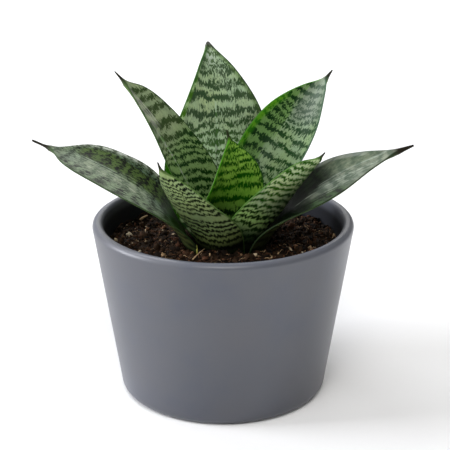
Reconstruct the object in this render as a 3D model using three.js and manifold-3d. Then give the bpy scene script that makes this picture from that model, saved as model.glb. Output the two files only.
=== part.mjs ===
// Potted birds nest snake plant: a rosette of eight cupped leaves in a tapered round pot.
// Millimetres, +Z up, origin on the pot's axis at the floor. The photographed front is -Y.
import * as THREE from "three";
import { mergeVertices } from "three/addons/utils/BufferGeometryUtils.js";
import Module from "manifold-3d";

const wasm = await Module();
wasm.setup();

// Pot
const potHeight = 98;
const potRimRadius = 71.5;
const potFootRadius = 56;
const potWall = 6;
const potFloor = 7;
const lipRadius = potWall / 2;
const footEdgeRadius = 6.5;
const insideCornerRadius = 6;
const footRecessRadius = 45;
const footRecessDepth = 1.5;
const potSegments = 64;

// Potting soil, and the clearance between pieces that touch
const gap = 0.3;
const soilAtWall = 84;
const soilMound = 2;
const clodSize = 9;
const clodHeight = 1.6;
const crumbSize = 4.5;
const crumbHeight = 0.9;
const soilRings = 11;
const soilSegments = 66;
const plantHoleGap = 1;

// Rhizome and its fleshy roots
const rhizomeTop = 73.7;
const rhizomeRadius = 21;
const rhizomeDepth = 16;
const rhizomeShoulder = 2;
const rhizomeRound = 7;
const rhizomeSegments = 40;
const rootCount = 7;
const rootLength = 34;
const rootRadius = 2.2;
const rootTipRadius = 0.9;
const rootSpread = 16;
const rootSunk = 3;
const rootSides = 7;
const rootSteps = 6;

// Leaves, innermost first. Lengths in mm, angles in degrees, lists from base to tip.
// radius and azimuth place the base round the pot's axis. heading is the compass direction that the
// leaf leans to, rise its slope above the horizontal, cup the half angle of its curved cross-section,
// and roll turns the tip about the leaf's own length. widest is where the blade is broadest, as a
// share of the length, fullness swells the blade between there and the tip, and spine is the share of
// the length where the tip's short spine starts.
const leafBase = rhizomeTop + gap;
const leaves = [
  {
    name: "leaf_young",
    radius: 2.7, azimuth: 61, heading: [91, 127], rise: [88, 103, 62],
    length: 76, width: 37, widest: 0.61, fullness: -0.04, cup: [76, 50, 40], roll: -6, spine: 0.93,
  },
  {
    name: "leaf_right_upper",
    radius: 6.2, azimuth: 66, heading: [4, 52], rise: [89, 43, 30],
    length: 129, width: 40.5, widest: 0.53, fullness: 0.01, cup: [73, 52, 53], roll: -2, spine: 0.94,
  },
  {
    name: "leaf_left_upper",
    radius: 9.7, azimuth: 133, heading: [211, 214], rise: [91, 59, 49],
    length: 129, width: 31.5, widest: 0.44, fullness: 0.1, cup: [66, 10, 32], roll: 48, spine: 0.94,
  },
  {
    name: "leaf_back",
    radius: 13.1, azimuth: 109, heading: [73, 102], rise: [75, 82, 33],
    length: 120, width: 67.5, widest: 0.36, fullness: -0.02, cup: [33, 10, 67], roll: -9, spine: 0.96,
  },
  {
    name: "leaf_front_right",
    radius: 11.7, azimuth: 296, heading: [345, 365], rise: [75, 48, 50],
    length: 82, width: 32.5, widest: 0.55, fullness: 0.1, cup: [45, 22, 41], roll: 42, spine: 0.95,
  },
  {
    name: "leaf_front_left",
    radius: 15.4, azimuth: 267, heading: [254, 211], rise: [82, 47, 71],
    length: 85, width: 30, widest: 0.52, fullness: 0.04, cup: [50, 16, 32], roll: -24, spine: 0.94,
  },
  {
    name: "leaf_right_outer",
    radius: 19.1, azimuth: -16, heading: [-3, 11], rise: [75, 32, 18],
    length: 111, width: 58.5, widest: 0.28, fullness: -0.09, cup: [25, 11, 35], roll: -16, spine: 0.9,
  },
  {
    name: "leaf_left_outer",
    radius: 18.8, azimuth: 195, heading: [199, 162], rise: [83, 30, 19],
    length: 116, width: 57.5, widest: 0.33, fullness: 0.26, cup: [25, 19, 19], roll: -3, spine: 0.9,
  },
];

// Every blade: half width as a share of the widest, and thickness.
const shoulderShare = 0.72;
const taperPlaces = [0.45, 0.8];
const taperShares = [0.8, 0.4];
const spineShare = 0.085;
const spineTipShare = 0.02;
const cupPlaces = [0, 0.18, 0.5, 0.9, 1];
const cupEarly = 0.25;
const headingSettles = 1 / 1.4;
const leafThicknessBase = 2.4;
const leafThicknessTip = 1.4;
const leafEdgeShare = 0.4;
const leafEdgeLeast = 0.75;
const leafSteps = 28;
const leafColumns = 8;
const pathSteps = 4 * leafSteps;

const finishes = {
  pot: { colour: 0x616267, roughness: 0.45 },
  soil: { colour: 0x3a2a1e, roughness: 0.95 },
  rhizome: { colour: 0xb98a55, roughness: 0.7 },
  leaf: { colour: 0x56704a, roughness: 0.4 },
  young: { colour: 0x4f7f1c, roughness: 0.4 },
};

const rad = THREE.MathUtils.degToRad;
const ease = (t) => t * t * (3 - 2 * t);
const mix = (a, b, share) => a + (b - a) * share;

// A smooth curve through the points (xs, ys).
function curveThrough(xs, ys, x) {
  const last = xs.length - 1;
  const chord = (i) => (ys[i + 1] - ys[i]) / (xs[i + 1] - xs[i]);
  const slope = (i) => {
    if (i === 0) return chord(0);
    if (i === last) return chord(last - 1);
    const before = xs[i] - xs[i - 1];
    const after = xs[i + 1] - xs[i];
    return (chord(i) * before + chord(i - 1) * after) / (before + after);
  };
  let i = 0;
  while (i < last - 1 && x > xs[i + 1]) i++;
  const h = xs[i + 1] - xs[i];
  const u = (x - xs[i]) / h;
  const bend = u * (1 - u) * h * ((1 - u) * slope(i) - u * slope(i + 1));
  return mix(ys[i], ys[i + 1], ease(u)) + bend;
}

// Half width along the leaf, as a share of the widest. At the base the arc is centred on the pot's
// axis, so that the leaves nest in each other.
function widthShare(leaf, t) {
  const base = (leaf.radius * rad(leaf.cup[0])) / (leaf.width / 2);
  const w = leaf.widest;
  const taper = taperPlaces.map((place) => mix(w, leaf.spine, place));
  const full = leaf.fullness;
  return curveThrough(
    [0, w / 2, w, ...taper, leaf.spine, 1],
    [
      base,
      mix(base, 1, shoulderShare),
      1,
      taperShares[0] + full / 2,
      taperShares[1] + full,
      spineShare,
      spineTipShare,
    ],
    t,
  );
}

// Stations along the middle of the leaf: a point P, N out of the upper side and B across the blade.
function leafPath(leaf) {
  const [baseRise, midRise, tipRise] = leaf.rise;
  const baseRoll = leaf.heading[0] - leaf.azimuth;
  const step = leaf.length / pathSteps;
  const point = new THREE.Vector3(
    leaf.radius * Math.cos(rad(leaf.azimuth)),
    leaf.radius * Math.sin(rad(leaf.azimuth)),
    leafBase,
  );
  const path = [];
  let before = null;
  for (let i = 0; i <= pathSteps; i++) {
    const t = i / pathSteps;
    const h = rad(mix(leaf.heading[0], leaf.heading[1], ease(Math.min(t / headingSettles, 1))));
    const atBase = 2 * (t - 0.5) * (t - 1);
    const atMiddle = 4 * t * (1 - t);
    const atTip = 2 * t * (t - 0.5);
    const e = rad(baseRise * atBase + midRise * atMiddle + tipRise * atTip);
    const roll = rad(mix(baseRoll, leaf.roll, ease(t)));
    const along = new THREE.Vector3(Math.cos(e) * Math.cos(h), Math.cos(e) * Math.sin(h), Math.sin(e));
    const up = new THREE.Vector3(-Math.sin(e) * Math.cos(h), -Math.sin(e) * Math.sin(h), Math.cos(e));
    const side = new THREE.Vector3().crossVectors(up, along);
    const N = up.clone().multiplyScalar(Math.cos(roll)).addScaledVector(side, Math.sin(roll));
    const B = side.clone().multiplyScalar(Math.cos(roll)).addScaledVector(up, -Math.sin(roll));
    if (before) point.addScaledVector(before.add(along), step / 2);
    before = along.clone();
    path.push({ t, P: point.clone(), N, B });
  }
  return path;
}

// One cross-section: an arc of the cup's half angle, thickest along the middle.
function leafRing(leaf, { t, P, N, B }) {
  const [base, middle, tip] = leaf.cup;
  const phi = rad(curveThrough(cupPlaces, [base, mix(base, middle, cupEarly), middle, tip, tip], t));
  const R = ((leaf.width / 2) * widthShare(leaf, t)) / phi;
  const thickness = mix(leafThicknessBase, leafThicknessTip, t);
  const upper = [];
  const lower = [];
  for (let k = 0; k <= leafColumns; k++) {
    const u = (2 * k) / leafColumns - 1;
    const a = u * phi;
    const centre = P.clone().addScaledVector(B, R * Math.sin(a)).addScaledVector(N, R * (1 - Math.cos(a)));
    const out = N.clone().multiplyScalar(Math.cos(a)).addScaledVector(B, -Math.sin(a));
    const half = Math.max(thickness * mix(1, leafEdgeShare, u * u), leafEdgeLeast) / 2;
    upper.push(centre.clone().addScaledVector(out, half));
    lower.push(centre.clone().addScaledVector(out, -half));
  }
  return upper.concat(lower.reverse());
}

function indexed(position, index) {
  const geometry = new THREE.BufferGeometry();
  geometry.setAttribute("position", new THREE.Float32BufferAttribute(position, 3));
  geometry.setIndex(index);
  geometry.computeVertexNormals();
  return geometry;
}

const coordinates = (rings) => rings.flat().flatMap((v) => [v.x, v.y, v.z]);

// A leaf is a closed skin through its cross-sections. Both faces are split alike, the base is cut flat
// where it sits on the rhizome, and strips of triangles close the two ends.
function leafGeometry(leaf) {
  const path = leafPath(leaf);
  const rings = [];
  for (let i = 0; i <= leafSteps; i++) rings.push(leafRing(leaf, path[(i * pathSteps) / leafSteps]));
  for (const point of rings[0]) point.z = leafBase;
  const count = rings[0].length;
  const at = (ring, k) => ring * count + (k % count);
  const index = [];
  for (let ring = 0; ring < leafSteps; ring++) {
    for (let k = 0; k < count; k++) {
      const a = at(ring, k);
      const b = at(ring, k + 1);
      const c = at(ring + 1, k + 1);
      const d = at(ring + 1, k);
      if (k <= leafColumns) index.push(a, c, b, a, d, c);
      else index.push(a, d, b, b, d, c);
    }
  }
  for (let k = 0; k < leafColumns; k++) {
    const over = count - 1 - k;
    const tip = leafSteps;
    index.push(at(0, k), at(0, over - 1), at(0, over), at(0, k), at(0, k + 1), at(0, over - 1));
    index.push(at(tip, k), at(tip, over), at(tip, over - 1), at(tip, k), at(tip, over - 1), at(tip, k + 1));
  }
  return indexed(coordinates(rings), index);
}

// Points of a round corner of the given radius about (x, y), from angle a to angle b in degrees.
function corner(x, y, radius, a, b, steps) {
  const points = [];
  for (let i = 0; i <= steps; i++) {
    const angle = rad(mix(a, b, i / steps));
    points.push(new THREE.Vector2(x + radius * Math.cos(angle), y + radius * Math.sin(angle)));
  }
  return points;
}

// A profile of (radius, height) points turned round the Z axis.
function turned(profile, segments) {
  return new THREE.LatheGeometry(profile, segments).rotateX(Math.PI / 2);
}

const taper = (potRimRadius - potFootRadius) / potHeight;
const potOutside = (z) => potFootRadius + taper * z;
const potInside = (z) => potOutside(z) - potWall;

function potGeometry() {
  const lean = THREE.MathUtils.radToDeg(Math.atan(taper));
  const lipHeight = potHeight - lipRadius;
  const lipX = potInside(lipHeight) + lipRadius;
  const footX = potOutside(footEdgeRadius) - footEdgeRadius;
  const cornerZ = potFloor + insideCornerRadius;
  const cornerX = potInside(cornerZ) - insideCornerRadius;
  const profile = [
    new THREE.Vector2(0, footRecessDepth),
    new THREE.Vector2(footRecessRadius, footRecessDepth),
    new THREE.Vector2(footRecessRadius + footRecessDepth, 0),
    ...corner(footX, footEdgeRadius, footEdgeRadius, -90, -lean, 4),
    ...corner(lipX, lipHeight, lipRadius, -lean, 180 - lean, 6),
    ...corner(cornerX, cornerZ, insideCornerRadius, -lean, -90, 3),
    new THREE.Vector2(0, potFloor),
  ];
  return turned(profile, potSegments);
}

// A repeatable number from 0 to 1 for a cell of a square grid, and lumps of that grid's size.
function cellValue(i, j) {
  const wild = Math.sin(i * 127.1 + j * 311.7) * 43758.5453;
  return wild - Math.floor(wild);
}

function lumps(x, y, size) {
  const i = Math.floor(x / size);
  const j = Math.floor(y / size);
  const u = ease(x / size - i);
  const v = ease(y / size - j);
  const near = mix(cellValue(i, j), cellValue(i + 1, j), u);
  const far = mix(cellValue(i, j + 1), cellValue(i + 1, j + 1), u);
  return mix(near, far, v) - 0.5;
}

// Height of the soil at a place: clods and crumbs on a low mound towards the plant.
function soilHeight(x, y) {
  const fromAxis = Math.min(Math.hypot(x, y) / potInside(soilAtWall), 1);
  const mound = soilMound * (1 - ease(fromAxis));
  return soilAtWall + mound + clodHeight * lumps(x, y, clodSize) + crumbHeight * lumps(x, y, crumbSize);
}

// Outermost radius of the leaves in each of the soil's directions, between two heights.
function plantReach(low, high) {
  const reach = new Array(soilSegments).fill(0);
  const around = 2 * (leafColumns + 1);
  for (const leaf of leaves) {
    const position = leafGeometry(leaf).getAttribute("position");
    for (let i = 0; i + around < position.count; i++) {
      const from = new THREE.Vector3().fromBufferAttribute(position, i);
      const to = new THREE.Vector3().fromBufferAttribute(position, i + around);
      for (let share = 0; share <= 1; share += 0.25) {
        const p = from.clone().lerp(to, share);
        if (p.z < low || p.z > high) continue;
        const turn = Math.atan2(p.y, p.x) / (2 * Math.PI);
        const k = (Math.round(turn * soilSegments) + soilSegments) % soilSegments;
        reach[k] = Math.max(reach[k], Math.hypot(p.x, p.y));
      }
    }
  }
  const at = (k) => reach[(k + soilSegments) % soilSegments];
  return reach.map((r, k) => Math.max(at(k - 1), r, at(k + 1)) + plantHoleGap);
}

// The soil fills the pot and has one plain hole, which follows the outside of the rosette.
function soilGeometry() {
  const floor = potFloor + gap;
  const holeFloor = rhizomeTop - rhizomeDepth - gap;
  const cornerZ = potFloor + insideCornerRadius;
  const side = (z) => potInside(z) - gap;
  const edge = side(soilAtWall - clodHeight);
  const holeTop = plantReach(soilAtWall - 4, soilAtWall + 5);
  const holeLow = plantReach(rhizomeTop, soilAtWall - 6);
  const rings = [];
  const ring = (radiusAt, heightAt) => {
    const points = [];
    for (let i = 0; i < soilSegments; i++) {
      const angle = (2 * Math.PI * i) / soilSegments;
      const x = radiusAt(i) * Math.cos(angle);
      const y = radiusAt(i) * Math.sin(angle);
      points.push(new THREE.Vector3(x, y, heightAt(x, y)));
    }
    rings.push(points);
  };
  ring(() => side(cornerZ) - insideCornerRadius, () => floor);
  ring(() => side(cornerZ) - 0.3 * insideCornerRadius, () => floor + 0.3 * insideCornerRadius);
  ring(() => side(cornerZ), () => cornerZ);
  for (let j = 0; j <= soilRings; j++) {
    ring((i) => mix(edge, holeTop[i], j / soilRings), soilHeight);
  }
  ring((i) => Math.max(holeLow[i], rhizomeRadius + gap), () => rhizomeTop);
  ring(() => rhizomeRadius + gap, () => holeFloor);
  const position = coordinates(rings);
  const index = [];
  for (let j = 0; j + 1 < rings.length; j++) {
    for (let i = 0; i < soilSegments; i++) {
      const a = j * soilSegments + i;
      const b = j * soilSegments + ((i + 1) % soilSegments);
      index.push(a, b, b + soilSegments, a, b + soilSegments, a + soilSegments);
    }
  }
  const centre = position.length / 3;
  position.push(0, 0, floor, 0, 0, holeFloor);
  const lastRing = (rings.length - 1) * soilSegments;
  for (let i = 0; i < soilSegments; i++) {
    const next = (i + 1) % soilSegments;
    index.push(centre, next, i, centre + 1, lastRing + i, lastRing + next);
  }
  return indexed(position, index);
}

// A fleshy root that leaves the rhizome's underside and tapers down and outward. A root grown fatter
// and longer by extra gives the hollow that it lies in.
function rootGeometry(number, extra) {
  const angle = (2 * Math.PI * number) / rootCount + 0.4 * Math.sin(3 * number);
  const spread = rootSpread * (1 + 0.25 * Math.sin(2.3 * number));
  const rings = [];
  const ring = (t, lower) => {
    const out = rhizomeRadius / 2 + spread * t * t;
    const r = mix(rootRadius, rootTipRadius, t) + extra;
    const z = rhizomeTop - rhizomeDepth + rootSunk - rootLength * t - lower;
    const points = [];
    for (let k = 0; k < rootSides; k++) {
      const a = (2 * Math.PI * k) / rootSides;
      const radial = out + r * Math.cos(a);
      const across = r * Math.sin(a);
      const x = radial * Math.cos(angle) - across * Math.sin(angle);
      const y = radial * Math.sin(angle) + across * Math.cos(angle);
      points.push(new THREE.Vector3(x, y, z));
    }
    rings.push(points);
  };
  for (let i = 0; i <= rootSteps; i++) ring(i / rootSteps, 0);
  if (extra > 0) ring(1, extra);
  const index = [];
  for (let j = 0; j + 1 < rings.length; j++) {
    for (let i = 0; i < rootSides; i++) {
      const a = j * rootSides + i;
      const b = j * rootSides + ((i + 1) % rootSides);
      index.push(a, b + rootSides, b, a, a + rootSides, b + rootSides);
    }
  }
  const last = (rings.length - 1) * rootSides;
  for (let i = 1; i + 1 < rootSides; i++) {
    index.push(0, i, i + 1, last, last + i + 1, last + i);
  }
  return indexed(coordinates(rings), index);
}

// A three.js geometry as a solid, and a solid as a three.js geometry.
function solid(geometry) {
  const bare = geometry.clone();
  bare.deleteAttribute("normal");
  bare.deleteAttribute("uv");
  const merged = mergeVertices(bare, 1e-4);
  const triVerts = new Uint32Array(merged.index.array);
  const vertProperties = merged.attributes.position.array;
  return new wasm.Manifold(new wasm.Mesh({ numProp: 3, vertProperties, triVerts }));
}

function geometryOf(made) {
  const mesh = made.getMesh();
  const geometry = new THREE.BufferGeometry();
  geometry.setAttribute("position", new THREE.BufferAttribute(mesh.vertProperties, 3));
  geometry.setIndex(new THREE.BufferAttribute(mesh.triVerts, 1));
  geometry.computeVertexNormals();
  return geometry;
}

function roots(extra) {
  const all = [];
  for (let i = 0; i < rootCount; i++) all.push(solid(rootGeometry(i, extra)));
  return all.reduce((sum, root) => sum.add(root));
}

function rhizomeGeometry() {
  const low = rhizomeTop - rhizomeDepth;
  const profile = [
    new THREE.Vector2(0, low),
    ...corner(rhizomeRadius - rhizomeRound, low + rhizomeRound, rhizomeRound, -90, 0, 5),
    ...corner(rhizomeRadius - rhizomeShoulder, rhizomeTop - rhizomeShoulder, rhizomeShoulder, 0, 90, 3),
    new THREE.Vector2(0, rhizomeTop),
  ];
  return geometryOf(solid(turned(profile, rhizomeSegments)).add(roots(0)));
}

function mesh(name, geometry, { colour, roughness }) {
  const material = new THREE.MeshStandardMaterial({ color: colour, roughness, metalness: 0 });
  const made = new THREE.Mesh(geometry, material);
  made.name = name;
  return made;
}

const plant = new THREE.Group();
plant.add(mesh("rhizome", rhizomeGeometry(), finishes.rhizome));
for (const leaf of leaves) {
  const finish = leaf.name === "leaf_young" ? finishes.young : finishes.leaf;
  plant.add(mesh(leaf.name, leafGeometry(leaf), finish));
}

const part = new THREE.Group();
part.add(mesh("pot", potGeometry(), finishes.pot));
part.add(mesh("soil", geometryOf(solid(soilGeometry()).subtract(roots(gap))), finishes.soil));
part.add(plant);

export default part;
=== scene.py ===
"""Looks of a potted birds nest snake plant: eight banded leaves, peat potting soil and a glazed
stoneware pot on a plain pale floor. Shape values are millimetres and degrees, as in the part's
source, and every mesh is made in metres."""

import math
from functools import partial

import bmesh
import bpy
import numpy as np
from mathutils import Euler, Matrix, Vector, noise


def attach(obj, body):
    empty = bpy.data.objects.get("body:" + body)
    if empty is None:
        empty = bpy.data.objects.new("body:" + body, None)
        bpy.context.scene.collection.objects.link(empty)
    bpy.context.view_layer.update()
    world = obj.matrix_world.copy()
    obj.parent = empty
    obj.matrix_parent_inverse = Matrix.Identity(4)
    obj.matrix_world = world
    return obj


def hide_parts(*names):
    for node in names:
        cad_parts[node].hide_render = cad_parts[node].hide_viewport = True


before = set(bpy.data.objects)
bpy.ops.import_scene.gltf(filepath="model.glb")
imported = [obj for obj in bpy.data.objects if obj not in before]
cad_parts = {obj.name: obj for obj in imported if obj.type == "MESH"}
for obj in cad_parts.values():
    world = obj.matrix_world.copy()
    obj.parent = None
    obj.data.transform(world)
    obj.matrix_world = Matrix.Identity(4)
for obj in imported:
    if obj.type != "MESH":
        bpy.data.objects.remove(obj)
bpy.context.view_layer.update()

bl_info = {
    "name": "Potted birds nest snake plant",
    "version": (1, 0, 0),
    "blender": (4, 5, 0),
    "location": "3D View > Sidebar > Snake Plant",
    "description": "Dresses the snake plant, its soil and its pot, and sets up a plain studio",
    "category": "Object",
}

# One millimetre in metres.
MM = 0.001


def linear(hex_colour):
    """An sRGB hex colour as linear red, green and blue with full alpha."""
    channels = [int(hex_colour[i : i + 2], 16) / 255 for i in (1, 3, 5)]
    return [c / 12.92 if c <= 0.04045 else ((c + 0.055) / 1.055) ** 2.4 for c in channels] + [1.0]


# Shapes of the leaves, innermost first, as the part's source gives them: lengths in mm, angles in
# degrees, lists from base to tip. They stand LEAF_BASE high, are as thick as LEAF_THICKNESS in the
# middle at the base and at the tip, and as LEAF_EDGE at the margins. A blade narrower than twice
# TIP_TAPER thins with its width. It turns into its spine over SPINE_BLEND of its length, and the
# spine is an awl, AWL_THICKEST at most.
LEAF_BASE = 74
LEAF_THICKNESS = (2.4, 1.4)
LEAF_EDGE = 0.75
TIP_TAPER = 2.4
AWL_THICKEST = 3.2
SPINE_BLEND = 0.08
LEAVES = {
    "leaf_young": {
        "radius": 2.7, "azimuth": 61, "heading": (91, 127), "rise": (88, 103, 62), "length": 76,
        "width": 37, "widest": 0.61, "fullness": -0.04, "cup": (76, 50, 40), "roll": -6,
        "spine": 0.93,
    },
    "leaf_right_upper": {
        "radius": 6.2, "azimuth": 66, "heading": (4, 52), "rise": (89, 43, 30), "length": 129,
        "width": 40.5, "widest": 0.53, "fullness": 0.01, "cup": (73, 52, 53), "roll": -2,
        "spine": 0.94,
    },
    "leaf_left_upper": {
        "radius": 9.7, "azimuth": 133, "heading": (211, 214), "rise": (91, 59, 49), "length": 129,
        "width": 31.5, "widest": 0.44, "fullness": 0.1, "cup": (66, 10, 32), "roll": 48,
        "spine": 0.94,
    },
    "leaf_back": {
        "radius": 13.1, "azimuth": 109, "heading": (73, 102), "rise": (75, 82, 33), "length": 120,
        "width": 67.5, "widest": 0.36, "fullness": -0.02, "cup": (33, 10, 67), "roll": -9,
        "spine": 0.96,
    },
    "leaf_front_right": {
        "radius": 11.7, "azimuth": 296, "heading": (345, 365), "rise": (75, 48, 50), "length": 82,
        "width": 32.5, "widest": 0.55, "fullness": 0.1, "cup": (45, 22, 41), "roll": 42,
        "spine": 0.95,
    },
    "leaf_front_left": {
        "radius": 15.4, "azimuth": 267, "heading": (254, 211), "rise": (82, 47, 71), "length": 85,
        "width": 30, "widest": 0.52, "fullness": 0.04, "cup": (50, 16, 32), "roll": -24,
        "spine": 0.94,
    },
    "leaf_right_outer": {
        "radius": 19.1, "azimuth": -16, "heading": (-3, 11), "rise": (75, 32, 18), "length": 111,
        "width": 58.5, "widest": 0.28, "fullness": -0.09, "cup": (25, 11, 35), "roll": -16,
        "spine": 0.9,
    },
    "leaf_left_outer": {
        "radius": 18.8, "azimuth": 195, "heading": (199, 162), "rise": (83, 30, 19), "length": 116,
        "width": 57.5, "widest": 0.33, "fullness": 0.26, "cup": (25, 19, 19), "roll": -3,
        "spine": 0.9,
    },
}

# Skins of the leaves. Sizes are in mm, two of them across and along the leaf. bands are the middles
# of the dark cross bands from the base. waver is how far their edges wander, teeth how long the
# lengthwise teeth of these are, and wave_size and teeth_size the size of each. arch is how far the
# bands bend towards the tip at the margins, and lean how far they run up across the blade.
# dark_share is how much of the skin is dark, softness how soft the change is, and clear how well
# the bands show. blotch and fleck are how much spots of blotch_size and fleck_size break them up,
# and streaks how much lighter or darker lengthwise streaks are. specular is how much of the light
# the wax mirrors, and margins are the lines along the low and the high side.
UPPER = {
    "pale": "#90a67c", "pale_warm": "#9caf74", "dark": "#2b433a", "dark_green": "#29432c",
    "dark_share": 0.5, "clear": 1.0, "softness": 0.18, "waver": 2.4, "teeth": 2.7,
    "wave_size": (11, 16), "teeth_size": (1.0, 4.0), "arch": 0.0, "lean": 0.0, "blotch": 0.75,
    "fleck": 1.0, "blotch_size": (5.0, 3.5), "fleck_size": (0.75, 1.9), "streaks": 0.11,
    "specular": 0.3, "margins": ("#1f3818", "#1f3818"), "zones": (),
}


def zone(along, soft, pale, dark, ragged=1.6, strength=1.0, **where):
    """A part of a blade with two colours. Some zones are markings of the skin, and others are
    painted light: painted shade where other leaves and the soil shade the blade, a painted silvery
    sheen where its wax mirrors the light, and painted bright green where light shines through a
    thin margin. along and across are where it lies in mm, and low or high how far it reaches in
    from that margin. soft is how wide its sides fade, ragged how far they wander, and strength how
    much of it shows."""
    return dict(
        where, along=along, soft=soft, pale=pale, dark=dark, ragged=ragged, strength=strength
    )


def even_bands(length, spacing):
    """Middles of dark bands at an even spacing, for a side of a leaf that shows no clear order."""
    return tuple(spacing * (i + 1) for i in range(int(0.9 * length / spacing)))
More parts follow.
